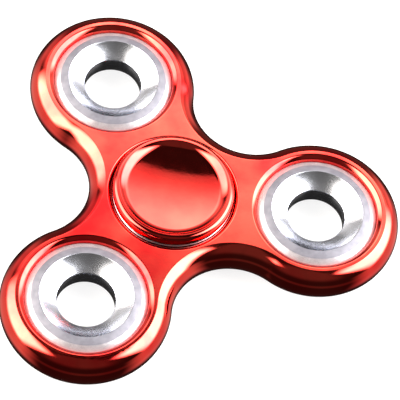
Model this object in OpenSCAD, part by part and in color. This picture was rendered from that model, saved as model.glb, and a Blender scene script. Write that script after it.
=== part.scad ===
// Three-lobed fidget spinner. A plated plastic frame turns on a 608 size ball bearing,
// a ring weight is pressed into each lobe, and a dished finger cap sits on each side.
// Origin: the centre of the bearing. The spin axis is Z, and lobe 1 points along +X.

/* [Frame] */
// Distance from the spin axis to the centre of each lobe
arm_pitch = 26.5; // [25:0.5:34]
// Wall outside each weight, at mid thickness
lobe_wall = 4.4; // [3.6:0.1:6]
// Wall outside the bearing, in the middle of each gap between two lobes
waist_wall = 4.2; // [3.4:0.1:6]
// Thickness between the two flat lands
frame_t = 7.4; // [6:0.1:10]
// How far the rounded edge stands out past the flat land
edge_reach = 2.79; // [1.8:0.01:3]
// Depth of the lip that leads into each seat
lip_depth = 1.25; // [0.5:0.05:2]
// Width of the lip that leads into each seat
lip_w = 0.87; // [0.3:0.01:1]

/* [Ring weights] */
// Outside diameter of a weight, and of its seat
weight_od = 22; // [20:0.1:26.5]
// Diameter of the hole through a weight
weight_hole_d = 10.6; // [6:0.1:13]
// Height of a weight between its two crests
weight_t = 7.2; // [5:0.1:9]
// Width of the steep outer bevel
weight_bevel_w = 1.2; // [0.6:0.1:1.6]
// Drop of the steep outer bevel
weight_bevel_drop = 0.75; // [0.3:0.05:1]
// Width of the gently sloping band between the bevel and the crest
weight_band_w = 1.4; // [0.8:0.1:1.8]
// Drop of the gently sloping band
weight_band_drop = 0.4; // [0.1:0.05:0.6]
// Depth of the dish from the crest to the edge of the hole
weight_dish_depth = 1.95; // [0.8:0.05:2.1]

/* [Bearing] */
// Outside diameter of the bearing, and of its seat
bearing_od = 22; // [21:0.1:26.5]
// Bore of the bearing
bearing_bore = 8; // [6:0.1:9]
// Width of the bearing
bearing_w = 7; // [6.9:0.1:9]
// Number of balls
ball_count = 7; // [7:1:7]
// Diameter of a ball
ball_d = 3.969; // [3.3:0.001:4.1]
// Diameter of the circle that the ball centres run on
ball_pitch_d = 15; // [14.8:0.01:15.3]
// Depth of each race's groove at the middle of the ball
race_depth = 0.58; // [0.3:0.01:0.7]
// Running clearance between a ball and its races
ball_play = 0.05; // [0.02:0.01:0.1]
// Clearance between a ball and its cage pocket
pocket_play = 0.1; // [0.05:0.01:0.2]
// Sheet thickness of the cage
cage_sheet = 0.3; // [0.2:0.01:0.35]
// Radial width of the cage
cage_w = 1.8; // [1.4:0.1:2]
// Diameter of a cage rivet
rivet_d = 0.7; // [0.5:0.05:0.9]
// Diameter of a rivet's head
rivet_head_d = 1.2; // [1:0.05:1.3]
// Height of a rivet's head
rivet_head_t = 0.25; // [0.15:0.01:0.4]
// Sheet thickness of a shield
shield_sheet = 0.3; // [0.2:0.01:0.35]
// Clearance between a shield and the inner ring
shield_gap = 0.15; // [0.1:0.01:0.25]
// Clearance between a shield and the cage's pockets
shield_play = 0.26; // [0.15:0.01:0.3]
// Width of the shield's seat in the outer ring
shield_seat_w = 0.55; // [0.4:0.01:0.7]
// Thickness of the wire ring that holds a shield
clip_d = 0.26; // [0.2:0.01:0.32]
// Gap between the ends of that wire ring, in degrees
clip_gap_angle = 24; // [12:1:40]
// Chamfer on the corners of both rings
ring_chamfer = 0.3; // [0.1:0.05:0.4]

/* [Finger caps] */
// Outside diameter of a cap
cap_d = 22; // [18:0.1:24]
// Height of a cap above the bearing's inner ring
cap_t = 2.2; // [1.9:0.1:3]
// Gap between a cap's rim and the face of the bearing's outer ring
cap_lift = 0.3; // [0.2:0.05:0.5]
// Radius of the rounded shoulder
cap_shoulder_r = 0.8; // [0.3:0.05:1.2]
// Width of the flat crest that the spinner rests on
cap_crest_w = 0.25; // [0.15:0.05:0.5]
// Depth of the finger dish
cap_dish_depth = 1.15; // [0.8:0.05:1.4]
// Width of the dish's steep rim
cap_rim_w = 1.75; // [1.4:0.05:2]
// How much of the depth belongs to the shallow floor
cap_floor_sag = 0.3; // [0.1:0.05:0.35]
// Diameter of the shoulder that stands on the inner ring
cap_foot_d = 10.8; // [9:0.1:11.4]
// Length of the spigot in the bearing's bore
cap_spigot_l = 3; // [2:0.1:3.3]
// Clearance between a spigot and the bore
spigot_fit = 0.01; // [0.005:0.005:0.05]
// Chamfer at the tip of a spigot
spigot_chamfer = 0.3; // [0.1:0.05:0.5]
// Diameter of the pin on the top cap
pin_d = 3.2; // [2:0.1:4]
// Depth of the pin inside the bottom cap
pin_engage = 2.1; // [1:0.1:2.3]
// Clearance around the pin and under its tip
pin_fit = 0.02; // [0.01:0.01:0.1]

/* [Hidden] */
$fn = 96;
cut = 0.5; // how far a cutter runs past the face it cuts
plate_red = [0.86, 0.17, 0.25];
weight_silver = [0.80, 0.81, 0.83];
bearing_steel = [0.62, 0.64, 0.67];
ball_steel = [0.86, 0.87, 0.89];
lobe_angles = [0, 120, 240];
gap_angles = [60, 180, 300];

// Frame outline: three lobe circles joined by three tangent gap circles
land_z = frame_t / 2;
weight_r = weight_od / 2;
bearing_r = bearing_od / 2;
lobe_r = weight_r + lobe_wall;
waist_r = bearing_r + waist_wall;
gap_r = (pow(arm_pitch, 2) + pow(waist_r, 2) - arm_pitch * waist_r - pow(lobe_r, 2))
    / (arm_pitch + 2 * lobe_r - 2 * waist_r);
gap_pitch = waist_r + gap_r;
lobe_turn = atan2(gap_pitch * sin(60), gap_pitch * cos(60) - arm_pitch);
edge_r = (pow(edge_reach, 2) + pow(land_z, 2)) / (2 * edge_reach);
raw_z = (land_z + edge_r) / 2;
bridge_proud = 0.03;
bridge_in = 1.5;
bridge_out = 0.3;

// Ring weight: radii and heights of its profile, from the hole to the seat
weight_hole_r = weight_hole_d / 2;
weight_band_r = weight_r - weight_bevel_w;
weight_crest_r = weight_band_r - weight_band_w;
weight_crest_z = weight_t / 2;
weight_band_z = weight_crest_z - weight_band_drop;
weight_seat_z = weight_band_z - weight_bevel_drop;
weight_hole_z = weight_crest_z - weight_dish_depth;
weight_dish_z = (pow(weight_crest_r, 2) + pow(weight_crest_z, 2)
    - pow(weight_hole_r, 2) - pow(weight_hole_z, 2)) / (2 * weight_dish_depth);
weight_dish_r = norm([weight_crest_r, weight_crest_z - weight_dish_z]);

// Bearing: race, cage and shield sizes
bearing_z = bearing_w / 2;
bore_r = bearing_bore / 2;
ball_r = ball_d / 2;
ball_pitch_r = ball_pitch_d / 2;
groove_r = ball_r + ball_play;
inner_land_r = ball_pitch_r - ball_r + race_depth;
outer_land_r = ball_pitch_r + ball_r - race_depth;
ball_step = 360 / ball_count;
pocket_r = ball_r + pocket_play;
pocket_shell_r = pocket_r + cage_sheet;
cage_in_r = ball_pitch_r - cage_w / 2;
cage_out_r = ball_pitch_r + cage_w / 2;
shield_z = pocket_shell_r + shield_play;
shield_in_r = inner_land_r + shield_gap;
shield_out_r = outer_land_r + shield_seat_w;
clip_z = shield_z + shield_sheet;
clip_mid_r = shield_out_r;
clip_r = clip_d / 2;

// Finger caps
cap_r = cap_d / 2;
cap_top_z = bearing_z + cap_t;
cap_under_z = bearing_z + cap_lift;
crest_out_r = cap_r - cap_shoulder_r;
crest_in_r = crest_out_r - cap_crest_w;
floor_edge_r = crest_in_r - cap_rim_w;
floor_edge_drop = cap_dish_depth - cap_floor_sag;
floor_edge_z = cap_top_z - floor_edge_drop;
floor_sphere_r = (pow(floor_edge_r, 2) + pow(cap_floor_sag, 2)) / (2 * cap_floor_sag);
floor_slope = asin(floor_edge_r / floor_sphere_r);
rim_arc_r = (pow(cap_rim_w, 2) + pow(floor_edge_drop, 2))
    / (2 * (floor_edge_drop * cos(floor_slope) - cap_rim_w * sin(floor_slope)));
spigot_r = bore_r - spigot_fit;
spigot_tip_z = bearing_z - cap_spigot_l;
pin_r = pin_d / 2;
pin_tip_z = -spigot_tip_z - pin_engage;

// Frame

module frame() {
    color(plate_red) difference() {
        intersection() {
            union() {
                union() {
                    web();
                    bridges();
                }
                for (a = lobe_angles) rotate(a) translate([arm_pitch, 0, 0]) rotate_extrude() edge_section();
            }
            translate([0, 0, -land_z]) cylinder(r = arm_pitch + lobe_r + cut, h = frame_t);
        }
        seat(bearing_r);
        for (a = lobe_angles) rotate(a) translate([arm_pitch, 0, 0]) seat(weight_r);
    }
}

// The section of a lobe from its centre out, with an edge arc centred on the mid plane.
// It is a little taller than the frame, which one slab then trims to its two flat lands.
module edge_section() {
    intersection() {
        union() {
            translate([0, -raw_z]) square([lobe_r - edge_r, 2 * raw_z]);
            translate([lobe_r - edge_r, 0]) circle(r = edge_r);
        }
        translate([0, -raw_z]) square([lobe_r, 2 * raw_z]);
    }
}

// The middle: a six-sided plate between lobe and gap centres, less the three gaps
module web() {
    corners = [for (i = [0:2]) each [
        arm_pitch * [cos(lobe_angles[i]), sin(lobe_angles[i])],
        gap_pitch * [cos(gap_angles[i]), sin(gap_angles[i])]
    ]];
    difference() {
        translate([0, 0, -raw_z]) linear_extrude(2 * raw_z) polygon(corners);
        for (a = gap_angles) rotate(a) translate([gap_pitch, 0, 0]) gap_cutter();
    }
}

// A cutter that leaves the same edge arc round the inside of a gap
module gap_cutter() {
    ring_r = gap_r + edge_r;
    rotate_extrude() difference() {
        translate([0, -edge_r]) square([ring_r, 2 * edge_r]);
        translate([ring_r, 0]) circle(r = edge_r);
    }
}

// A short straight bar of the same section over each line where a lobe's edge runs into a gap's,
// proud by a hair, so that the two round surfaces join through it and not at a bare tangent
module bridges() {
    for (a = lobe_angles) rotate(a) translate([arm_pitch, 0, 0]) for (side = [0, 1])
        mirror([0, side, 0]) rotate(lobe_turn) translate([bridge_proud, bridge_in, 0])
            rotate([90, 0, 0]) linear_extrude(bridge_in + bridge_out) edge_section();
}

// A seat right through the frame, with a conical lip at each face
module seat(r) {
    cylinder(r = r, h = frame_t + 2 * cut, center = true);
    lip_slope = lip_w / lip_depth;
    for (side = [0, 1]) mirror([0, 0, side])
        translate([0, 0, land_z - lip_depth])
            cylinder(r1 = r, r2 = r + lip_slope * (lip_depth + cut), h = lip_depth + cut);
}

// Ring weights

module weight_ring(i) {
    color(weight_silver) rotate(lobe_angles[i - 1]) translate([arm_pitch, 0, 0]) difference() {
        rotate_extrude() polygon([
            [0, -weight_crest_z], [weight_crest_r, -weight_crest_z], [weight_band_r, -weight_band_z],
            [weight_r, -weight_seat_z], [weight_r, weight_seat_z],
            [weight_band_r, weight_band_z], [weight_crest_r, weight_crest_z], [0, weight_crest_z]
        ]);
        cylinder(r = weight_hole_r, h = weight_t + 2 * cut, center = true);
        for (side = [-1, 1]) translate([0, 0, side * weight_dish_z]) sphere(r = weight_dish_r);
    }
}

// Bearing

module bearing_outer_ring() {
    color(bearing_steel) rotate_extrude() difference() {
        polygon([
            [outer_land_r, -bearing_z], [bearing_r - ring_chamfer, -bearing_z],
            [bearing_r, -bearing_z + ring_chamfer], [bearing_r, bearing_z - ring_chamfer],
            [bearing_r - ring_chamfer, bearing_z], [outer_land_r, bearing_z]
        ]);
        translate([ball_pitch_r, 0]) circle(r = groove_r);
        for (side = [0, 1]) mirror([0, side]) {
            translate([outer_land_r - cut, shield_z])
                square([shield_seat_w + cut, bearing_z]);
            translate([clip_mid_r, clip_z + clip_r]) circle(r = clip_r, $fn = 32);
        }
    }
}

module bearing_inner_ring() {
    color(bearing_steel) rotate_extrude() difference() {
        polygon([
            [bore_r + ring_chamfer, -bearing_z], [inner_land_r - ring_chamfer / 2, -bearing_z],
            [inner_land_r, -bearing_z + ring_chamfer / 2], [inner_land_r, bearing_z - ring_chamfer / 2],
            [inner_land_r - ring_chamfer / 2, bearing_z], [bore_r + ring_chamfer, bearing_z],
            [bore_r, bearing_z - ring_chamfer], [bore_r, -bearing_z + ring_chamfer]
        ]);
        translate([ball_pitch_r, 0]) circle(r = groove_r);
    }
}

module bearing_ball(i) {
    color(ball_steel) rotate((i - 1) * ball_step) translate([ball_pitch_r, 0, 0]) sphere(r = ball_r);
}

// One pressed half of the cage: flats between pockets that wrap the balls
module cage_half() {
    color(bearing_steel) difference() {
        intersection() {
            difference() {
                cylinder(r = cage_out_r, h = pocket_shell_r + cut);
                translate([0, 0, -cut]) cylinder(r = cage_in_r, h = pocket_shell_r + 3 * cut);
            }
            union() {
                cylinder(r = cage_out_r + cut, h = cage_sheet);
                at_balls() sphere(r = pocket_shell_r, $fn = 48);
            }
        }
        at_balls() sphere(r = pocket_r, $fn = 48);
        rotate(ball_step / 2) at_balls() cylinder(r = rivet_d / 2, h = 4 * cage_sheet, center = true, $fn = 24);
    }
}

module cage_rivets() {
    color(ball_steel) rotate(ball_step / 2) at_balls() {
        cylinder(r = rivet_d / 2, h = 2 * cage_sheet, center = true, $fn = 24);
        for (side = [0, 1]) mirror([0, 0, side])
            translate([0, 0, cage_sheet]) cylinder(r = rivet_head_d / 2, h = rivet_head_t, $fn = 24);
    }
}

module at_balls() {
    for (i = [0:ball_count - 1]) rotate(i * ball_step) translate([ball_pitch_r, 0, 0]) children();
}

module shield() {
    color(bearing_steel) rotate_extrude() translate([shield_in_r, shield_z])
        square([shield_out_r - shield_in_r, shield_sheet]);
}

// The open wire ring in the outer ring's groove, which holds the shield down
module shield_clip() {
    color(ball_steel) rotate(clip_gap_angle / 2) rotate_extrude(angle = 360 - clip_gap_angle)
        translate([clip_mid_r, clip_z + clip_r]) circle(r = clip_r, $fn = 32);
}

// Finger caps

// Half of a cap's cross-section on the top side: disc, shoulder, foot and spigot, less the dish
module cap_profile() {
    difference() {
        union() {
            intersection() {
                union() {
                    square([cap_r, cap_top_z - cap_shoulder_r]);
                    square([crest_out_r, cap_top_z]);
                    translate([crest_out_r, cap_top_z - cap_shoulder_r]) circle(r = cap_shoulder_r);
                }
                translate([0, cap_under_z]) square([cap_r, cap_t]);
            }
            translate([0, bearing_z]) square([cap_foot_d / 2, 2 * cap_lift]);
            polygon([
                [0, spigot_tip_z], [spigot_r - spigot_chamfer, spigot_tip_z],
                [spigot_r, spigot_tip_z + spigot_chamfer], [spigot_r, cap_under_z], [0, cap_under_z]
            ]);
        }
        dish_profile();
    }
}

// The finger dish: a shallow round floor that runs into a steeper arc at the rim
module dish_profile() {
    arc_x = floor_edge_r - rim_arc_r * sin(floor_slope);
    arc_z = floor_edge_z + rim_arc_r * cos(floor_slope);
    floor_z = cap_top_z - cap_dish_depth;
    intersection() {
        translate([0, floor_z + floor_sphere_r]) circle(r = floor_sphere_r, $fn = 1440);
        translate([0, floor_z - cut]) square([floor_edge_r, cap_dish_depth + 2 * cut]);
    }
    intersection() {
        translate([arc_x, arc_z]) circle(r = rim_arc_r);
        translate([floor_edge_r, floor_edge_z - cut]) square([cap_rim_w, floor_edge_drop + 2 * cut]);
    }
}

module top_cap() {
    color(plate_red) {
        rotate_extrude() cap_profile();
        translate([0, 0, pin_tip_z]) cylinder(r = pin_r, h = spigot_tip_z - pin_tip_z + cut);
    }
}

module bottom_cap() {
    color(plate_red) difference() {
        mirror([0, 0, 1]) rotate_extrude() cap_profile();
        translate([0, 0, pin_tip_z - pin_fit]) cylinder(r = pin_r + pin_fit, h = pin_engage + pin_fit + cut);
    }
}

frame();
for (i = [1:3]) weight_ring(i);
bearing_outer_ring();
bearing_inner_ring();
for (i = [1:ball_count]) bearing_ball(i);
cage_half();  // cage_upper
mirror([0, 0, 1]) cage_half();  // cage_lower
cage_rivets();
shield();  // shield_top
mirror([0, 0, 1]) shield();  // shield_bottom
shield_clip();  // shield_clip_top
mirror([0, 0, 1]) shield_clip();  // shield_clip_bottom
top_cap();
bottom_cap();
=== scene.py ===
"""Three-lobed fidget spinner.

A mirror-plated frame, three pressed-in ring weights, a ball bearing and two dished finger caps.
All sizes are metres in the part's own frame: the centre of the bearing is the origin and the spin axis is Z.
"""

import logging
import math
from dataclasses import dataclass, field
from enum import Enum
from typing import Callable, Iterable, Sequence

import bmesh
import bpy
from mathutils import Matrix, Vector


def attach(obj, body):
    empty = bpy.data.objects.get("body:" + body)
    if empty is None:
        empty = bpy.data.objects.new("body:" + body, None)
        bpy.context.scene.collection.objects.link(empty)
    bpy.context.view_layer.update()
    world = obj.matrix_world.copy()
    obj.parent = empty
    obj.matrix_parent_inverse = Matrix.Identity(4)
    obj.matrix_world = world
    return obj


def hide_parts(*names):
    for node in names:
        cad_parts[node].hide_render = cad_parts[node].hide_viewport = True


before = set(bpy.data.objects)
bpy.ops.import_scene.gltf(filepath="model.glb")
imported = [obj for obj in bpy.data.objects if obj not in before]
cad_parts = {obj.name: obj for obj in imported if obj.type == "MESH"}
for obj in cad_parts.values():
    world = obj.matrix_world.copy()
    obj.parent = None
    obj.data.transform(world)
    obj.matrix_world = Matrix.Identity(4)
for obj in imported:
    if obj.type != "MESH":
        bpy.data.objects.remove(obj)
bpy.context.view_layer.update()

MM = 0.001
LOBES = 3
ON_AXIS = Vector((0, 0, 0))
SEAM = 0.001 * MM  # how close the two ends of a turned profile lie before they are welded
SAME_RADIUS = 1e-9  # a share of the radius, under which two rings count as equally wide
WIDE = (0.1, 0.9)  # the range that lathe circles have, which swing further than clouds do
Point = tuple[float, float]
Range = tuple[float, float]
Colour = tuple[float, float, float]
Socket = bpy.types.NodeSocket
MeshPart = bmesh.types.BMEdge | bmesh.types.BMFace
log = logging.getLogger("spinner")


# Workshop: the operators that every turned or swept piece uses


class Side(Enum):
    """Which face of the spinner a piece belongs to."""

    TOP = 1.0
    BOTTOM = -1.0


class Workshop:
    """Starts, selects, turns, joins and finishes meshes, one operator after another as by hand."""

    @staticmethod
    def clear_selection() -> None:
        """Deselects every object and leaves edit mode."""
        if bpy.context.object is not None and bpy.context.object.mode != "OBJECT":
            bpy.ops.object.mode_set(mode="OBJECT")
        bpy.ops.object.select_all(action="DESELECT")

    @staticmethod
    def take_up(piece: bpy.types.Object) -> None:
        """Makes one piece the only selected and active object.

        Args:
            piece: The piece that is worked on next.
        """
        Workshop.clear_selection()
        piece.select_set(True)
        bpy.context.view_layer.objects.active = piece

    @staticmethod
    def start_circle(
        name: str, radius: float, centre: Vector, count: int, upright: float | None = None
    ) -> bpy.types.Object:
        """Adds an open circle and enters edit mode with all of it selected.

        Args:
            name: The name of the new piece.
            radius: The circle's radius.
            centre: The circle's centre.
            count: How many points it has.
            upright: None for a level circle, or the heading in radians of an upright circle's plane.

        Returns:
            The new object, placed by its mesh, in edit mode.
        """
        Workshop.clear_selection()
        turn = (0.0, 0.0, 0.0) if upright is None else (math.pi / 2, 0.0, upright)
        bpy.ops.mesh.primitive_circle_add(vertices=count, radius=radius, location=centre, rotation=turn)
        piece = bpy.context.object
        piece.name = name
        piece.data.name = name
        bpy.ops.object.transform_apply(location=True, rotation=True, scale=True)
        bpy.ops.object.mode_set(mode="EDIT")
        bpy.ops.mesh.select_mode(type="EDGE")
        bpy.ops.mesh.select_all(action="SELECT")
        return piece

    @staticmethod
    def pick(piece: bpy.types.Object, kind: str, wanted: Callable[[MeshPart], bool]) -> None:
        """Selects the edges or the faces that pass a test, in edit mode.

        Args:
            piece: The object being edited.
            kind: "EDGE" or "FACE".
            wanted: Says whether one of them is selected.
        """
        bpy.ops.mesh.select_mode(type=kind)
        bpy.ops.mesh.select_all(action="DESELECT")
        mesh = bmesh.from_edit_mesh(piece.data)
        candidates = mesh.edges if kind == "EDGE" else mesh.faces
        for part in [part for part in candidates if wanted(part)]:
            part.select_set(True)
        bmesh.update_edit_mesh(piece.data)

    @staticmethod
    def turn(
        name: str, profile: Sequence[Point], centre: Vector, count: int, pole: bool, ring: bool
    ) -> bpy.types.Object:
        """Turns a half profile round an upright axis, one ring of points after another.

        Args:
            name: The name of the new piece.
            profile: Radius and height of each ring, in metres.
            centre: Where the axis stands.
            count: How many points each ring has.
            pole: Whether the last ring is gathered to a point and the first one capped.
            ring: Whether the last ring is welded to the first, which leaves a hole down the middle.

        Returns:
            The turned piece, in object mode.
        """
        (radius, height), rest = profile[0], profile[1:]
        piece = Workshop.start_circle(name, radius, centre + Vector((0, 0, height)), count)
        for new_radius, new_height in rest:
            bpy.ops.mesh.extrude_edges_move(TRANSFORM_OT_translate={"value": (0, 0, new_height - height)})
            scale = new_radius / radius
            if abs(scale - 1) > SAME_RADIUS:
                middle = centre + Vector((0, 0, new_height))
                bpy.ops.transform.resize(value=(scale, scale, 1), center_override=middle)
            radius, height = new_radius, new_height
        if pole:
            bpy.ops.mesh.extrude_edges_move(TRANSFORM_OT_translate={"value": (0, 0, 0)})
            bpy.ops.mesh.merge(type="CENTER")
            Workshop.pick(piece, "EDGE", lambda edge: edge.is_boundary)
            bpy.ops.mesh.edge_face_add()
        if ring:
            bpy.ops.mesh.select_all(action="SELECT")
            bpy.ops.mesh.remove_doubles(threshold=SEAM)
        bpy.ops.object.mode_set(mode="OBJECT")
        return piece

    @staticmethod
    def soften(piece: bpy.types.Object, width: float, steps: int, angle: float) -> None:
        """Rounds every crease sharper than an angle, with an applied bevel.

        Args:
            piece: The piece to round.
            width: How far the rounding reaches from each crease.
            steps: How many facets the rounding has.
            angle: The least angle that counts as a crease, in radians.
        """
        Workshop.take_up(piece)
        bpy.ops.object.modifier_add(type="BEVEL")
        bevel = piece.modifiers[-1]
        bevel.width, bevel.segments = width, steps
        bevel.limit_method, bevel.angle_limit = "ANGLE", angle
        bevel.use_clamp_overlap = True
        bpy.ops.object.modifier_apply(modifier=bevel.name)

    @staticmethod
    def finish(piece: bpy.types.Object, sharp: float = math.radians(32)) -> None:
        """Points the faces outward and smooths the shading up to an angle.

        Args:
            piece: The piece whose shape is done.
            sharp: The angle past which a crease stays sharp, in radians.
        """
        Workshop.take_up(piece)
        bpy.ops.object.mode_set(mode="EDIT")
        bpy.ops.mesh.select_all(action="SELECT")
        bpy.ops.mesh.normals_make_consistent(inside=False)
        bpy.ops.object.mode_set(mode="OBJECT")
        bpy.ops.object.shade_smooth_by_angle(angle=sharp)
        Workshop.clear_selection()

    @staticmethod
    def copy_to(piece: bpy.types.Object, name: str, shift: Vector) -> bpy.types.Object:
        """Copies a piece with its own mesh and moves the mesh, so the object stays at the origin.

        Args:
            piece: The piece to copy.
            name: The copy's name.
            shift: How far the copy's mesh is moved.

        Returns:
            The copy.
        """
        Workshop.take_up(piece)
        bpy.ops.object.duplicate(linked=False)
        twin = bpy.context.object
        twin.name = name
        twin.data.name = name
        bpy.ops.transform.translate(value=shift)
        bpy.ops.object.transform_apply(location=True, rotation=True, scale=True)
        Workshop.clear_selection()
        return twin

    @staticmethod
    def join(body: bpy.types.Object, others: Iterable[bpy.types.Object]) -> None:
        """Joins other pieces into one body.

        Args:
            body: The piece that stays, and holds the joined mesh.
            others: The pieces that go into it.
        """
        Workshop.take_up(body)
        for other in others:
            other.select_set(True)
        bpy.ops.object.join()

    @staticmethod
    def paint(piece: bpy.types.Object, finishes: Iterable[bpy.types.Material]) -> None:
        """Gives a piece its finishes, the first one all over.

        Args:
            piece: The finished shape.
            finishes: One material for each slot, in order.
        """
        piece.data.materials.clear()
        for finish in finishes:
            piece.data.materials.append(finish)


def arc(centre: Point, radius: float, start: float, stop: float, count: int) -> list[Point]:
    """Points along a profile arc.

    Args:
        centre: Radius and height of the arc's centre.
        radius: The arc's own radius.
        start: First angle in degrees, from the outward direction towards up.
        stop: Last angle in degrees.
        count: How many points, both ends included.

    Returns:
        The points, in order.
    """
    angles = [math.radians(start + (stop - start) * i / (count - 1)) for i in range(count)]
    return [(centre[0] + radius * math.cos(a), centre[1] + radius * math.sin(a)) for a in angles]


def mirrored(half: Sequence[Point]) -> list[Point]:
    """Gives the points of a profile's lower half, from the middle plane's far side back to the start."""
    return [(radius, -height) for radius, height in reversed(half)]


# Finishes: every scale is how many features a pattern has to a metre


class NodeSheet:
    """Lays out one material's nodes."""

    def __init__(self, name: str) -> None:
        """Starts a new material with one principled shader.

        Args:
            name: The material's name.
        """
        self.material = bpy.data.materials.new(name)
        self.material.use_nodes = True
        self.nodes = self.material.node_tree.nodes
        self.links = self.material.node_tree.links
        self.shader = self.nodes["Principled BSDF"]
        self.place = self.nodes.new("ShaderNodeTexCoord").outputs["Object"]

    def set(self, **values: float | tuple) -> None:
        """Sets sockets of the shader that are the same all over."""
        for key, value in values.items():
            self.shader.inputs[key.replace("_", " ")].default_value = value

    def about(self, centre: Vector) -> Socket:
        """Measures the place from a piece's own axis.

        Args:
            centre: Where the piece's axis stands.

        Returns:
            The place, to lead into a pattern.
        """
        node = self.nodes.new("ShaderNodeMapping")
        node.inputs["Location"].default_value = -centre
        self.links.new(self.place, node.inputs["Vector"])
        return node.outputs["Vector"]

    def noise(self, scale: float, detail: float = 3.0, place: Socket | None = None) -> Socket:
        """Makes a cloudy pattern.

        Args:
            scale: How many features it has to a metre.
            detail: How many finer layers are added.
            place: Where it is measured from, or None for the part's origin.

        Returns:
            The pattern's value.
        """
        node = self.nodes.new("ShaderNodeTexNoise")
        node.inputs["Scale"].default_value = scale
        node.inputs["Detail"].default_value = detail
        self.links.new(place or self.place, node.inputs["Vector"])
        return node.outputs["Fac"]

    def rings(self, scale: float, place: Socket, waver: float = 0.3, detail: float = 2.0) -> Socket:
        """Makes fine circles round an upright axis, as a lathe leaves them.

        Args:
            scale: How many circles there are to a metre.
            place: The place, measured from the axis.
            waver: How far the circles stray.
            detail: How many finer layers the straying has.

        Returns:
            The pattern's value.
        """
        node = self.nodes.new("ShaderNodeTexWave")
        node.wave_type, node.rings_direction = "RINGS", "Z"
        node.inputs["Scale"].default_value = scale
        node.inputs["Distortion"].default_value = waver
        node.inputs["Detail"].default_value = detail
        self.links.new(place, node.inputs["Vector"])
        return node.outputs["Fac"]

    def span(self, value: Socket, low: float, high: float, source: Range = (0.3, 0.7)) -> Socket:
        """Maps a pattern to the range that a socket needs.

        Args:
            value: The pattern.
            low: The result at the low end of the source range.
            high: The result at its high end.
            source: The range that the pattern mostly has.

        Returns:
            The mapped value.
        """
        node = self.nodes.new("ShaderNodeMapRange")
        node.inputs["From Min"].default_value, node.inputs["From Max"].default_value = source
        node.inputs["To Min"].default_value, node.inputs["To Max"].default_value = low, high
        self.links.new(value, node.inputs["Value"])
        return node.outputs["Result"]

    def shade(self, value: Socket, first: Colour, second: Colour, source: Range = (0.35, 0.65)) -> Socket:
        """Makes a colour between two, led by a pattern.

        Args:
            value: The pattern.
            first: The colour at the low end of the source range.
            second: The colour at its high end.
            source: The range that the pattern mostly has.

        Returns:
            The colour.
        """
        node = self.nodes.new("ShaderNodeValToRGB")
        ramp = node.color_ramp
        ramp.elements[0].position, ramp.elements[0].color = source[0], (*first, 1)
        ramp.elements[1].position, ramp.elements[1].color = source[1], (*second, 1)
        self.links.new(value, node.inputs["Fac"])
        return node.outputs["Color"]

    def relief(self, heights: Sequence[tuple[Socket, float]]) -> None:
        """Chains one bump after another into the shader's normal.

        Args:
            heights: Each pattern and how deep it is, in metres.
        """
        normal = None
        for value, depth in heights:
            node = self.nodes.new("ShaderNodeBump")
            node.inputs["Strength"].default_value = 1.0
            node.inputs["Distance"].default_value = depth
            self.links.new(value, node.inputs["Height"])
            if normal is not None:
                self.links.new(normal, node.inputs["Normal"])
            normal = node.outputs["Normal"]
        for socket in ("Normal", "Coat Normal"):
            self.links.new(normal, self.shader.inputs[socket])

    def to(self, value: Socket, socket: str) -> None:
        """Leads a pattern to one socket of the shader."""
        self.links.new(value, self.shader.inputs[socket])


@dataclass(frozen=True)
class RedPlating:
    """Vacuum-plated plastic under a tinted lacquer: a mirror with the faint waves of the moulding below."""

    name: str
    deep: Colour = (0.84, 0.010, 0.014)
    clear: Colour = (0.97, 0.082, 0.056)
    lacquer: float = 0.35
    lacquer_index: float = 1.45
    lacquer_roughness: float = 0.05
    roughness: Range = (0.05, 0.10)
    tint_scale: float = 90
    gloss_scale: float = 420
    wave_scale: float = 42
    wave_depth: float = 0.14 * MM
    peel_scale: float = 1500
    peel_depth: float = 0.0014 * MM

    def make(self) -> bpy.types.Material:
        """Builds the plating.

        Returns:
            The material.
        """
        sheet = NodeSheet(self.name)
        sheet.set(
            Metallic=1.0,
            Coat_Weight=self.lacquer,
            Coat_Roughness=self.lacquer_roughness,
            Coat_IOR=self.lacquer_index,
        )
        tint = sheet.noise(self.tint_scale, detail=4)
        sheet.to(sheet.shade(tint, self.deep, self.clear), "Base Color")
        sheet.to(sheet.span(sheet.noise(self.gloss_scale, detail=5), *self.roughness), "Roughness")
        waves = sheet.noise(self.wave_scale, detail=1)
        peel = sheet.noise(self.peel_scale, detail=2)
        sheet.relief([(waves, self.wave_depth), (peel, self.peel_depth)])
        return sheet.material


@dataclass(frozen=True)
class BrightChrome:
    """Bright plating on the weights: a mirror with faint turning marks under it."""

    name: str
    centre: Vector = field(default_factory=ON_AXIS.copy)
    dark: Colour = (0.49, 0.505, 0.585)
    light: Colour = (0.60, 0.62, 0.69)
    roughness: Range = (0.19, 0.25)
    tint_scale: float = 150
    gloss_scale: float = 300
    turning_scale: float = 1300
    turning_depth: float = 0.0012 * MM
    wave_scale: float = 160
    wave_depth: float = 0.02 * MM

    def make(self) -> bpy.types.Material:
        """Builds the plating.

        Returns:
            The material.
        """
        sheet = NodeSheet(self.name)
        place = sheet.about(self.centre)
        sheet.set(Metallic=1.0)
        tint = sheet.noise(self.tint_scale, detail=3, place=place)
        sheet.to(sheet.shade(tint, self.dark, self.light), "Base Color")
        gloss = sheet.noise(self.gloss_scale, detail=4, place=place)
        sheet.to(sheet.span(gloss, *self.roughness), "Roughness")
        turning = sheet.rings(self.turning_scale, place)
        waves = sheet.noise(self.wave_scale, detail=1, place=place)
        sheet.relief([(turning, self.turning_depth), (waves, self.wave_depth)])
        return sheet.material


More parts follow.
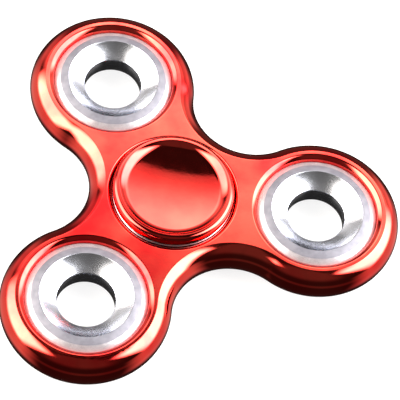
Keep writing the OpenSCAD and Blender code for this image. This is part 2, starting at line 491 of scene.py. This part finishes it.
@dataclass(frozen=True)
class SatinBand:
    """The turned, unpolished band of a weight, with fine circles from the lathe."""

    name: str
    centre: Vector = field(default_factory=ON_AXIS.copy)
    dark: Colour = (0.100, 0.100, 0.124)
    light: Colour = (0.136, 0.135, 0.163)
    metal: float = 0.5
    roughness: Range = (0.38, 0.48)
    tint_scale: float = 700
    turning_scale: float = 2600
    turning_waver: float = 0.6
    turning_depth: float = 0.004 * MM
    grain_scale: float = 2400
    grain_depth: float = 0.003 * MM

    def make(self) -> bpy.types.Material:
        """Builds the satin finish.

        Returns:
            The material.
        """
        sheet = NodeSheet(self.name)
        place = sheet.about(self.centre)
        sheet.set(Metallic=self.metal)
        tint = sheet.noise(self.tint_scale, detail=4, place=place)
        sheet.to(sheet.shade(tint, self.dark, self.light), "Base Color")
        turning = sheet.rings(self.turning_scale, place, self.turning_waver)
        sheet.to(sheet.span(turning, *self.roughness, WIDE), "Roughness")
        grain = sheet.noise(self.grain_scale, detail=3, place=place)
        sheet.relief([(turning, self.turning_depth), (grain, self.grain_depth)])
        return sheet.material


@dataclass(frozen=True)
class TurnedSteel:
    """Turned or ground steel: circles round the spin axis, with a little colour and gloss variation."""

    name: str
    dark: Colour = (0.30, 0.30, 0.33)
    light: Colour = (0.42, 0.41, 0.44)
    roughness: Range = (0.22, 0.34)
    tint_scale: float = 260
    turning_scale: float = 2200
    turning_waver: float = 0.5
    turning_depth: float = 0.003 * MM
    grain_scale: float = 1800
    grain_depth: float = 0.002 * MM

    def make(self) -> bpy.types.Material:
        """Builds the steel.

        Returns:
            The material.
        """
        sheet = NodeSheet(self.name)
        sheet.set(Metallic=1.0)
        tint = sheet.noise(self.tint_scale, detail=4)
        sheet.to(sheet.shade(tint, self.dark, self.light), "Base Color")
        turning = sheet.rings(self.turning_scale, sheet.place, self.turning_waver)
        sheet.to(sheet.span(turning, *self.roughness, WIDE), "Roughness")
        grain = sheet.noise(self.grain_scale, detail=3)
        sheet.relief([(turning, self.turning_depth), (grain, self.grain_depth)])
        return sheet.material


@dataclass(frozen=True)
class PressedSteel:
    """Pressed sheet or lapped steel: an even grain with no direction."""

    name: str
    dark: Colour = (0.34, 0.34, 0.36)
    light: Colour = (0.48, 0.48, 0.50)
    roughness: Range = (0.20, 0.36)
    tint_scale: float = 480
    gloss_scale: float = 900
    grain_scale: float = 2600
    grain_depth: float = 0.002 * MM

    def make(self) -> bpy.types.Material:
        """Builds the steel.

        Returns:
            The material.
        """
        sheet = NodeSheet(self.name)
        sheet.set(Metallic=1.0)
        tint = sheet.noise(self.tint_scale, detail=5)
        sheet.to(sheet.shade(tint, self.dark, self.light), "Base Color")
        gloss = sheet.noise(self.gloss_scale, detail=4)
        sheet.to(sheet.span(gloss, *self.roughness), "Roughness")
        sheet.relief([(sheet.noise(self.grain_scale, detail=3), self.grain_depth)])
        return sheet.material


# The object's own pieces


@dataclass
class Frame:
    """The plated frame: one rounded edge swept round lobes and gaps, two flat lands and four lipped seats."""

    pitch: float = 26.5 * MM
    lobe_r: float = 15.4 * MM
    waist_r: float = 15.2 * MM
    land_z: float = 3.7 * MM
    reach: float = 2.79 * MM
    seat_r: float = 11.0 * MM
    lip_w: float = 0.87 * MM
    lip_depth: float = 1.25 * MM
    lip_bow: Point = (0.14, 0.44)  # where a lip bows out, as shares of its width and of its depth
    margin: float = 0.15 * MM
    crease: float = 0.07 * MM
    crease_steps: int = 2
    lip_margin: float = 0.22 * MM
    lip_round: float = 0.16 * MM
    lip_steps: int = 3
    least_crease: float = math.radians(10)
    lobe_steps: int = 150
    gap_steps: int = 75
    section_points: int = 112
    seat_points: int = 224
    cut_slack: float = 1e-7
    weld: float = 0.004 * MM
    level_slack: float = 0.01 * MM

    @property
    def edge_r(self) -> float:
        """Radius of the rounded edge's own arc."""
        return (self.reach**2 + self.land_z**2) / (2 * self.reach)

    @property
    def gap(self) -> tuple[float, float]:
        """Distance of a gap's centre from the spin axis, and the gap's radius.

        A gap's circle touches the lobes on both sides of it, and its nearest point is waist_r from the axis.

        Returns:
            The distance and the radius.
        """
        share = math.cos(math.pi / LOBES)
        shift = self.lobe_r - self.waist_r
        reach = self.pitch**2 + self.waist_r**2 - 2 * share * self.pitch * self.waist_r - self.lobe_r**2
        radius = reach / (2 * (shift + share * self.pitch))
        return radius + self.waist_r, radius

    def lobe(self, number: int) -> Vector:
        """Centre of a lobe, counted from 0."""
        return Matrix.Rotation(math.tau * number / LOBES, 3, "Z") @ Vector((self.pitch, 0, 0))

    def hollow(self, number: int) -> Vector:
        """Centre of the gap that follows a lobe."""
        return Matrix.Rotation(math.tau * (number + 0.5) / LOBES, 3, "Z") @ Vector((self.gap[0], 0, 0))

    def section(self, heading: Vector, half_turn: float) -> bpy.types.Object:
        """Cuts the edge's section out of an upright circle and adds its two flat margins.

        Args:
            heading: The outward direction of the section.
            half_turn: How far the section stands from the first lobe's own direction, in radians.

        Returns:
            The open section, in edit mode with all of it selected.
        """
        centre = self.lobe(0) + heading * (self.lobe_r - self.edge_r)
        points = self.section_points
        band = Workshop.start_circle("frame_shell", self.edge_r, centre, points, upright=-half_turn)
        up = Vector((0, 0, 1))
        for point, outward in ((up * self.land_z, up), (-up * self.land_z, -up), (centre, -heading)):
            bpy.ops.mesh.select_all(action="SELECT")
            bpy.ops.mesh.bisect(plane_co=point, plane_no=outward, clear_outer=True, threshold=self.cut_slack)
        bpy.ops.mesh.select_mode(type="VERT")
        bpy.ops.mesh.select_all(action="DESELECT")
        mesh = bmesh.from_edit_mesh(band.data)
        for vert in mesh.verts:
            vert.select_set(len(vert.link_edges) == 1)
        bmesh.update_edit_mesh(band.data)
        bpy.ops.mesh.extrude_vertices_move(TRANSFORM_OT_translate={"value": -heading * self.margin})
        bpy.ops.mesh.select_mode(type="EDGE")
        bpy.ops.mesh.select_all(action="SELECT")
        return band

    def edge_band(self) -> bpy.types.Object:
        """Sweeps the edge's section round the three lobes and the three gaps.

        Returns:
            The band, with a narrow flat margin at each land, in object mode.
        """
        way = self.hollow(0) - self.lobe(0)
        half_turn = math.atan2(way.y, way.x)
        gap_sweep = 2 * half_turn - math.tau / LOBES
        band = self.section(Vector((math.cos(-half_turn), math.sin(-half_turn), 0)), half_turn)
        for number in range(LOBES):
            for steps, sweep, centre in (
                (self.lobe_steps, -2 * half_turn, self.lobe(number)),
                (self.gap_steps, gap_sweep, self.hollow(number)),
            ):
                bpy.ops.mesh.spin(steps=steps, angle=sweep, center=centre, axis=(0, 0, 1))
        bpy.ops.mesh.select_all(action="SELECT")
        bpy.ops.mesh.remove_doubles(threshold=self.weld)
        bpy.ops.object.mode_set(mode="OBJECT")
        Workshop.soften(band, self.crease, self.crease_steps, self.least_crease)
        return band

    def seat_liner(self) -> bpy.types.Object:
        """Turns one seat's wall with its two rounded lips, in the middle of the frame.

        Returns:
            The wall, open at both lands.
        """
        lip_r = self.seat_r + self.lip_w
        bow_r = self.seat_r + self.lip_bow[0] * self.lip_w
        bow_z = self.land_z - self.lip_bow[1] * self.lip_depth
        half = [
            (lip_r + self.lip_margin, self.land_z),
            (lip_r, self.land_z),
            (bow_r, bow_z),
            (self.seat_r, self.land_z - self.lip_depth),
        ]
        profile = half + mirrored(half)
        liner = Workshop.turn("seat_liner", profile, ON_AXIS, self.seat_points, pole=False, ring=False)
        Workshop.soften(liner, self.lip_round, self.lip_steps, self.least_crease)
        return liner

    def build(self) -> bpy.types.Object:
        """Joins the band and the four seats, and fills the two lands between them.

        Returns:
            The finished shell of the frame.
        """
        shell = self.edge_band()
        liner = self.seat_liner()
        copies = [Workshop.copy_to(liner, f"seat_liner_{n + 1}", self.lobe(n)) for n in range(LOBES)]
        Workshop.join(shell, [liner, *copies])
        for side in Side:
            level = side.value * self.land_z

            def at_land(edge: bmesh.types.BMEdge) -> bool:
                """Says whether an open edge lies in this land."""
                return edge.is_boundary and all(abs(v.co.z - level) < self.level_slack for v in edge.verts)

            bpy.ops.object.mode_set(mode="EDIT")
            Workshop.pick(shell, "EDGE", at_land)
            bpy.ops.mesh.fill(use_beauty=True)
            bpy.ops.object.mode_set(mode="OBJECT")
        Workshop.finish(shell)
        return shell


@dataclass
class RingWeight:
    """A turned ring weight: a mirror dish down to the hole, a satin band and a bright outer bevel."""

    number: int
    centre: Vector
    outer_r: float = 11.0 * MM
    hole_r: float = 5.3 * MM
    crest_r: float = 8.4 * MM
    band_r: float = 9.8 * MM
    crest_z: float = 3.6 * MM
    band_z: float = 3.2 * MM
    bevel_z: float = 2.45 * MM
    hole_z: float = 1.65 * MM
    edge_round: float = 0.11 * MM
    edge_steps: int = 3
    least_crease: float = math.radians(12)
    dish_points: int = 18
    points: int = 192

    @property
    def dish(self) -> tuple[float, float]:
        """Height of the dish sphere's centre, and its radius.

        Returns:
            The height and the radius.
        """
        crest, throat = self.crest_r**2 + self.crest_z**2, self.hole_r**2 + self.hole_z**2
        height = (crest - throat) / (2 * (self.crest_z - self.hole_z))
        return height, math.hypot(self.crest_r, self.crest_z - height)

    def build(self) -> bpy.types.Object:
        """Turns the ring and rounds its edges.

        Returns:
            The finished shape, without its finishes.
        """
        height, radius = self.dish
        low = math.degrees(math.atan2(self.hole_z - height, self.hole_r))
        high = math.degrees(math.atan2(self.crest_z - height, self.crest_r))
        half = arc((0.0, height), radius, low, high, self.dish_points)
        half += [(self.band_r, self.band_z), (self.outer_r, self.bevel_z)]
        profile = half + mirrored(half) + [half[0]]
        name = f"weight_ring_{self.number}_turned"
        ring = Workshop.turn(name, profile, self.centre, self.points, pole=False, ring=True)
        Workshop.soften(ring, self.edge_round, self.edge_steps, self.least_crease)
        Workshop.finish(ring)
        return ring

    def dress(self, ring: bpy.types.Object) -> None:
        """Gives the dish and bore the bright finish, the band its satin one and the bevel a finer one.

        Args:
            ring: The turned ring.
        """
        chrome = BrightChrome(f"bright_chrome_{self.number}", self.centre)
        band = SatinBand(f"satin_band_{self.number}", self.centre)
        bevel = SatinBand(
            f"turned_bevel_{self.number}",
            self.centre,
            dark=(0.27, 0.27, 0.295),
            light=(0.34, 0.34, 0.365),
            metal=0.6,
            roughness=(0.24, 0.32),
        )
        Workshop.paint(ring, [finish.make() for finish in (chrome, band, bevel)])
        Workshop.take_up(ring)
        bpy.ops.object.mode_set(mode="EDIT")
        zones = ((self.crest_r, self.band_r), (self.band_r, self.outer_r))
        for slot, (inner, outer) in enumerate(zones, start=1):
            Workshop.pick(ring, "FACE", lambda face: inner < self.distance(face) < outer)
            ring.active_material_index = slot
            bpy.ops.object.material_slot_assign()
        bpy.ops.object.mode_set(mode="OBJECT")
        Workshop.clear_selection()

    def distance(self, face: bmesh.types.BMFace) -> float:
        """How far the middle of a face is from the weight's own axis."""
        middle = face.calc_center_median()
        return math.hypot(middle.x - self.centre.x, middle.y - self.centre.y)


@dataclass
class FingerCap:
    """A dished finger cap with its foot and spigot, and the pin or socket that holds the caps together."""

    side: Side
    wall_r: float = 11.0 * MM
    top_z: float = 5.7 * MM
    under_z: float = 3.8 * MM
    foot_z: float = 3.5 * MM
    foot_r: float = 5.4 * MM
    shoulder: float = 0.8 * MM
    crest_w: float = 0.25 * MM
    rim_w: float = 1.75 * MM
    rim_drop: float = 0.85 * MM
    floor_sag: float = 0.3 * MM
    spigot_r: float = 3.99 * MM
    spigot_z: float = 0.5 * MM
    chamfer: float = 0.3 * MM
    pin_r: float = 1.6 * MM
    pin_z: float = -2.6 * MM
    socket_gap: float = 0.05 * MM
    points: int = 256
    shoulder_points: int = 14
    rim_points: int = 22
    floor_points: int = 30
    floor_start: float = 0.985  # where the floor's points begin, as a share of its slope at the rim
    floor_stop: float = 0.2  # where they end, in degrees from the axis

    def crown(self) -> list[Point]:
        """Draws the shown side, from the wall's foot over the shoulder and rim to the dish's middle.

        Returns:
            The profile's points, from the outside in.
        """
        crest_out = self.wall_r - self.shoulder
        crest_in = crest_out - self.crest_w
        edge = crest_in - self.rim_w
        sphere = (edge**2 + self.floor_sag**2) / (2 * self.floor_sag)
        slope = math.asin(edge / sphere)
        drop, width = self.rim_drop, self.rim_w
        rim = (width**2 + drop**2) / (2 * (drop * math.cos(slope) - width * math.sin(slope)))
        rim_centre = (edge - rim * math.sin(slope), self.top_z - drop + rim * math.cos(slope))
        rim_end = math.degrees(math.atan2(self.top_z - rim_centre[1], crest_in - rim_centre[0]))
        floor_centre = (0.0, self.top_z - drop - self.floor_sag + sphere)
        fall, down = math.degrees(slope), -90
        points = [(self.wall_r, self.under_z)]
        points += arc((crest_out, self.top_z - self.shoulder), self.shoulder, 0, 90, self.shoulder_points)
        points += arc(rim_centre, rim, rim_end, down + fall, self.rim_points)
        first, last = down + fall * self.floor_start, down + self.floor_stop
        points += arc(floor_centre, sphere, first, last, self.floor_points)
        return points

    def hidden(self) -> list[Point]:
        """Draws the fixing under the cap: a pin on the top cap, and a socket in the bottom one.

        Returns:
            The profile's points, from the axis out to the wall's foot.
        """
        spigot = [
            (self.spigot_r - self.chamfer, self.spigot_z),
            (self.spigot_r, self.spigot_z + self.chamfer),
            (self.spigot_r, self.foot_z),
            (self.foot_r, self.foot_z),
            (self.foot_r, self.under_z),
        ]
        if self.side is Side.TOP:
            return [(self.pin_r, self.pin_z), (self.pin_r, self.spigot_z)] + spigot
        bore = self.pin_r + self.socket_gap
        return [(bore, -self.pin_z + self.socket_gap), (bore, self.spigot_z)] + spigot

    def build(self) -> bpy.types.Object:
        """Turns the cap, with a mirror step for the one below.

        Returns:
            The finished cap.
        """
        profile = self.hidden() + self.crown()
        name = f"{self.side.name.lower()}_cap_turned"
        cap = Workshop.turn(name, profile, ON_AXIS, self.points, pole=True, ring=False)
        if self.side is Side.BOTTOM:
            Workshop.take_up(cap)
            bpy.ops.object.mode_set(mode="EDIT")
            bpy.ops.mesh.select_all(action="SELECT")
            bpy.ops.transform.resize(value=(1, 1, -1), center_override=(0, 0, 0))
            bpy.ops.object.mode_set(mode="OBJECT")
        Workshop.finish(cap)
        return cap


@dataclass
class Bearing:
    """The ball bearing, whose solids are shown as they are with their own steels."""

    balls: int = 7
    race: TurnedSteel = TurnedSteel("ground_race_steel")
    shield: TurnedSteel = TurnedSteel(
        "shield_steel", (0.32, 0.32, 0.34), (0.44, 0.44, 0.46), (0.26, 0.40), turning_depth=0.002 * MM
    )
    ball: PressedSteel = PressedSteel(
        "lapped_ball_steel", (0.50, 0.50, 0.52), (0.58, 0.58, 0.60), (0.05, 0.10), grain_depth=0.0005 * MM
    )
    cage: PressedSteel = PressedSteel("pressed_cage_steel")
    rivet: PressedSteel = PressedSteel("rivet_steel", (0.30, 0.30, 0.31), (0.40, 0.39, 0.40), (0.28, 0.42))
    wire: PressedSteel = PressedSteel("clip_wire_steel", (0.38, 0.37, 0.38), (0.46, 0.46, 0.47), (0.18, 0.30))

    def dress(self) -> dict[str, bpy.types.Material]:
        """Gives every ring, ball, cage half, rivet set, shield and clip its finish.

        Returns:
            The finish of each node.
        """
        nodes_of = (
            (self.race, ["bearing_outer_ring", "bearing_inner_ring"]),
            (self.cage, ["cage_upper", "cage_lower"]),
            (self.rivet, ["cage_rivets"]),
            (self.shield, ["shield_top", "shield_bottom"]),
            (self.wire, ["shield_clip_top", "shield_clip_bottom"]),
            (self.ball, [f"bearing_ball_{n + 1}" for n in range(self.balls)]),
        )
        finishes = {}
        for steel, names in nodes_of:
            finish = steel.make()
            for name in names:
                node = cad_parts[name]
                if not node.material_slots:
                    node.data.materials.append(finish)
                for held in node.material_slots:
                    held.material = finish
                finishes[name] = finish
        return finishes


# Studio


@dataclass(frozen=True)
class Softbox:
    """A broad square light that looks at the spinner. Its azimuth is from +Y towards +X, in degrees."""

    name: str
    azimuth: float
    elevation: float
    width: float
    height: float
    glow: float
    tint: Colour
    distance: float = 1.2
    soft_edge: float = 0.26  # how far the light takes to reach its full strength, as a share of its width

    def build(self) -> None:
        """Adds the light, turned to face the origin."""
        a, e = math.radians(self.azimuth), math.radians(self.elevation)
        way = Vector((math.sin(a) * math.cos(e), math.cos(a) * math.cos(e), math.sin(e)))
        Workshop.clear_selection()
        bpy.ops.object.light_add(type="AREA", location=way * self.distance)
        lamp = bpy.context.object
        lamp.name = self.name
        lamp.rotation_euler = way.to_track_quat("Z", "Y").to_euler()
        lamp.data.shape = "RECTANGLE"
        lamp.data.size, lamp.data.size_y = self.width, self.height
        lamp.data.energy = self.glow * math.pi * self.width * self.height
        lamp.data.color = self.tint
        lamp.visible_camera = False
        self.fade(lamp.data)

    def fade(self, light: bpy.types.Light) -> None:
        """Lets the light fall away smoothly to its four edges, as a diffuser does.

        Args:
            light: The area light's data.
        """
        light.use_nodes = True
        nodes, links = light.node_tree.nodes, light.node_tree.links
        split = nodes.new("ShaderNodeSeparateXYZ")
        links.new(nodes.new("ShaderNodeNewGeometry").outputs["Parametric"], split.inputs[0])
        middle = 0.5
        sides = []
        for axis in range(2):
            from_edge = nodes.new("ShaderNodeMath")
            from_edge.operation = "PINGPONG"
            from_edge.inputs[1].default_value = middle
            links.new(split.outputs[axis], from_edge.inputs[0])
            step = nodes.new("ShaderNodeMapRange")
            step.interpolation_type = "SMOOTHSTEP"
            step.inputs["From Max"].default_value = self.soft_edge
            links.new(from_edge.outputs[0], step.inputs["Value"])
            sides.append(step.outputs["Result"])
        both = nodes.new("ShaderNodeMath")
        both.operation = "MULTIPLY"
        links.new(sides[0], both.inputs[0])
        links.new(sides[1], both.inputs[1])
        links.new(both.outputs[0], nodes["Emission"].inputs["Strength"])


@dataclass(frozen=True)
class Glow:
    """A soft patch of light in the surroundings, between two elevations and round one azimuth, in degrees."""

    azimuth: float
    half_width: float
    side_soft: float
    low: float
    high: float
    low_soft: float
    high_soft: float
    strength: float


class SkySheet:
    """Lays out the nodes of the surroundings."""

    def __init__(self, name: str) -> None:
        """Starts a new world and makes it the scene's own.

        Args:
            name: The world's name.
        """
        world = bpy.data.worlds.new(name)
        bpy.context.scene.world = world
        world.use_nodes = True
        self.nodes, self.links = world.node_tree.nodes, world.node_tree.links
        self.nodes.clear()
        split = self.nodes.new("ShaderNodeSeparateXYZ")
        self.links.new(self.nodes.new("ShaderNodeTexCoord").outputs["Generated"], split.inputs[0])
        x, y, z = split.outputs
        self.azimuth = self.add("MULTIPLY", self.add("ARCTAN2", x, y), math.degrees(1))
        self.elevation = self.add("MULTIPLY", self.add("ARCSINE", z), math.degrees(1))

    def add(self, kind: str, first: Socket | float, second: Socket | float = 0.0) -> Socket:
        """Adds one math node.

        Args:
            kind: The node's operation.
            first: Its first value.
            second: Its second value, where the operation has one.

        Returns:
            The result.
        """
        node = self.nodes.new("ShaderNodeMath")
        node.operation = kind
        for socket, value in zip(node.inputs, (first, second)):
            if isinstance(value, (int, float)):
                socket.default_value = value
            else:
                self.links.new(value, socket)
        return node.outputs[0]

    def ramp(self, value: Socket, zero: float, one: float) -> Socket:
        """Adds a smooth step between two values.

        Args:
            value: What is measured.
            zero: The value at which the step is 0.
            one: The value at which it is 1, above or below the other.

        Returns:
            The step's height.
        """
        node = self.nodes.new("ShaderNodeMapRange")
        node.interpolation_type = "SMOOTHSTEP"
        node.inputs["From Min"].default_value = min(zero, one)
        node.inputs["From Max"].default_value = max(zero, one)
        ends = (0, 1) if zero < one else (1, 0)
        node.inputs["To Min"].default_value, node.inputs["To Max"].default_value = ends
        self.links.new(value, node.inputs["Value"])
        return node.outputs["Result"]

    def patch(self, glow: Glow) -> Socket:
        """Adds one soft patch of light.

        Args:
            glow: Where the patch is and how strong.

        Returns:
            The patch's strength.
        """
        off = self.add("ABSOLUTE", self.add("SUBTRACT", self.azimuth, glow.azimuth))
        side, low, high = glow.side_soft / 2, glow.low_soft / 2, glow.high_soft / 2
        across = self.ramp(off, glow.half_width + side, glow.half_width - side)
        above = self.ramp(self.elevation, glow.low - low, glow.low + low)
        below = self.ramp(self.elevation, glow.high + high, glow.high - high)
        shape = self.add("MULTIPLY", self.add("MULTIPLY", across, above), below)
        return self.add("MULTIPLY", shape, glow.strength)

    def show(self, room: Socket, tint: Colour, backdrop: float) -> None:
        """Lights the scene with the room, and shows the camera a plain pale backdrop.

        Args:
            room: The room's strength in each direction.
            tint: The room's colour.
            backdrop: The strength of the white backdrop.
        """
        lit, pale = (self.nodes.new("ShaderNodeBackground") for _ in range(2))
        self.links.new(room, lit.inputs["Strength"])
        lit.inputs["Color"].default_value = (*tint, 1)
        pale.inputs["Color"].default_value, pale.inputs["Strength"].default_value = (1, 1, 1, 1), backdrop
        mix, end = self.nodes.new("ShaderNodeMixShader"), self.nodes.new("ShaderNodeOutputWorld")
        self.links.new(self.nodes.new("ShaderNodeLightPath").outputs["Is Camera Ray"], mix.inputs["Fac"])
        self.links.new(lit.outputs[0], mix.inputs[1])
        self.links.new(pale.outputs[0], mix.inputs[2])
        self.links.new(mix.outputs[0], end.inputs["Surface"])


@dataclass
class Studio:
    """Pale floor, two softboxes and dim surroundings with soft patches."""

    floor_z: float = -5.7 * MM
    floor_size: float = 8.0
    floor_dark: Colour = (0.20, 0.20, 0.20)
    floor_light: Colour = (0.22, 0.22, 0.22)
    floor_glow: float = 0.86
    floor_roughness: float = 0.9
    floor_scale: float = 3
    ambient: float = 0.028
    room_tint: Colour = (1.0, 0.94, 0.86)
    backdrop: float = 1.1
    lamps: tuple[Softbox, ...] = (
        Softbox("softbox_left", -89, 40, 1.68, 1.58, 14.0, (1.0, 0.93, 0.82)),
        Softbox("softbox_right", 81, 40, 1.50, 1.58, 17.0, (1.0, 0.98, 0.94)),
    )
    glows: tuple[Glow, ...] = (
        Glow(4, 48, 24, 27, 62.4, 6, 1.2, 0.85),
        Glow(8, 38, 26, 43, 57.5, 10, 9, 5.4),
        Glow(0, 50, 10, -20, 30, 14, 10, 0.08),
        Glow(-88, 40, 28, -45, 14, 30, 10, 0.75),
        Glow(84, 36, 28, -45, 14, 30, 10, 0.75),
        Glow(-150, 40, 24, -12, 1, 7, 6, 0.06),
        Glow(150, 40, 24, -12, 1, 7, 6, 0.06),
        Glow(-36, 10, 12, -5, 45, 14, 14, 0.5),
        Glow(42, 12, 12, -5, 45, 14, 14, 0.7),
        Glow(-162, 24, 24, 32, 84, 24, 16, 0.10),
        Glow(162, 24, 24, 32, 84, 24, 16, 0.10),
    )

    def floor(self) -> None:
        """Adds the pale floor that the spinner lies on, which mirrors don't see."""
        Workshop.clear_selection()
        bpy.ops.mesh.primitive_plane_add(size=self.floor_size, location=(0, 0, self.floor_z))
        plane = bpy.context.object
        plane.name = "floor"
        bpy.ops.object.transform_apply(location=True, rotation=True, scale=True)
        sheet = NodeSheet("pale_floor")
        sheet.set(
            Roughness=self.floor_roughness,
            Specular_IOR_Level=0.0,
            Emission_Color=(1, 1, 1, 1),
            Emission_Strength=self.floor_glow,
        )
        tint = sheet.noise(self.floor_scale, detail=2)
        sheet.to(sheet.shade(tint, self.floor_dark, self.floor_light), "Base Color")
        plane.data.materials.append(sheet.material)
        plane.visible_glossy = False
        plane.visible_diffuse = False

    def surroundings(self) -> None:
        """Builds a dim room with the soft patches, and plain pale where the camera looks past the floor."""
        sky = SkySheet("studio")
        total: Socket | float = self.ambient
        for glow in self.glows:
            total = sky.add("ADD", sky.patch(glow), total)
        sky.show(total, self.room_tint, self.backdrop)

    def build(self) -> None:
        """Adds the floor, the lamps and the surroundings."""
        self.floor()
        for lamp in self.lamps:
            lamp.build()
        self.surroundings()
        bpy.context.scene.view_settings.view_transform = "Standard"


@dataclass(frozen=True)
class Viewpoint:
    """Where the camera stands, as angles in degrees about the middle of the top face."""

    azimuth: float = -4.9
    elevation: float = 59.3
    roll: float = 11.3
    distance: float = 420 * MM
    aside: float = 4.88 * MM
    lift: float = -1.42 * MM
    aim_z: float = 3.7 * MM
    lens: float = 208.3
    sensor: float = 36.0
    near: float = 0.01
    far: float = 20.0

    def build(self) -> None:
        """Adds the camera and makes it the scene's own."""
        a, e, t = (math.radians(v) for v in (self.azimuth, self.elevation, self.roll))
        back = Vector((math.sin(a) * math.cos(e), -math.cos(a) * math.cos(e), math.sin(e)))
        level = Vector((math.cos(a), math.sin(a), 0))
        up = back.cross(level)
        right = level * math.cos(t) + up * math.sin(t)
        up = up * math.cos(t) - level * math.sin(t)
        place = Vector((0, 0, self.aim_z)) + back * self.distance + right * self.aside + up * self.lift
        Workshop.clear_selection()
        bpy.ops.object.camera_add(location=place)
        camera = bpy.context.object
        camera.name = "camera"
        camera.matrix_world = Matrix.Translation(place) @ Matrix((right, up, back)).transposed().to_4x4()
        camera.data.lens = self.lens
        camera.data.sensor_width = self.sensor
        camera.data.clip_start, camera.data.clip_end = self.near, self.far
        bpy.context.scene.camera = camera


def seat_piece(piece: bpy.types.Object, body: str, stands_for: str) -> None:
    """Puts a finished piece on its body, in place of its CAD node.

    Args:
        piece: The finished piece.
        body: The body that carries it.
        stands_for: The CAD node that it replaces.
    """
    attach(piece, body)
    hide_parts(stands_for)
    log.info("%s: %d faces, on %s, for %s", piece.name, len(piece.data.polygons), body, stands_for)


def main() -> None:
    """Builds the camera, the pieces and the studio in order."""
    logging.basicConfig(level=logging.INFO, format="%(name)s: %(message)s")
    Viewpoint().build()
    plating = RedPlating("red_mirror_plating").make()
    frame_part = Frame()
    shell = frame_part.build()
    Workshop.paint(shell, [plating])
    seat_piece(shell, "rotor", "frame")

    for number in range(LOBES):
        weight = RingWeight(number + 1, frame_part.lobe(number))
        ring = weight.build()
        weight.dress(ring)
        seat_piece(ring, "rotor", f"weight_ring_{number + 1}")

    cap_plating = RedPlating(
        "red_cap_plating",
        deep=(0.88, 0.030, 0.026),
        clear=(0.93, 0.062, 0.046),
        roughness=(0.03, 0.06),
        wave_depth=0.012 * MM,
    ).make()
    for side in Side:
        cap = FingerCap(side).build()
        Workshop.paint(cap, [cap_plating])
        seat_piece(cap, "hub", f"{side.name.lower()}_cap")

    for name, finish in Bearing().dress().items():
        log.info("%s: finished as %s", name, finish.name)
    Studio().build()


if __name__ == "__main__":
    main()
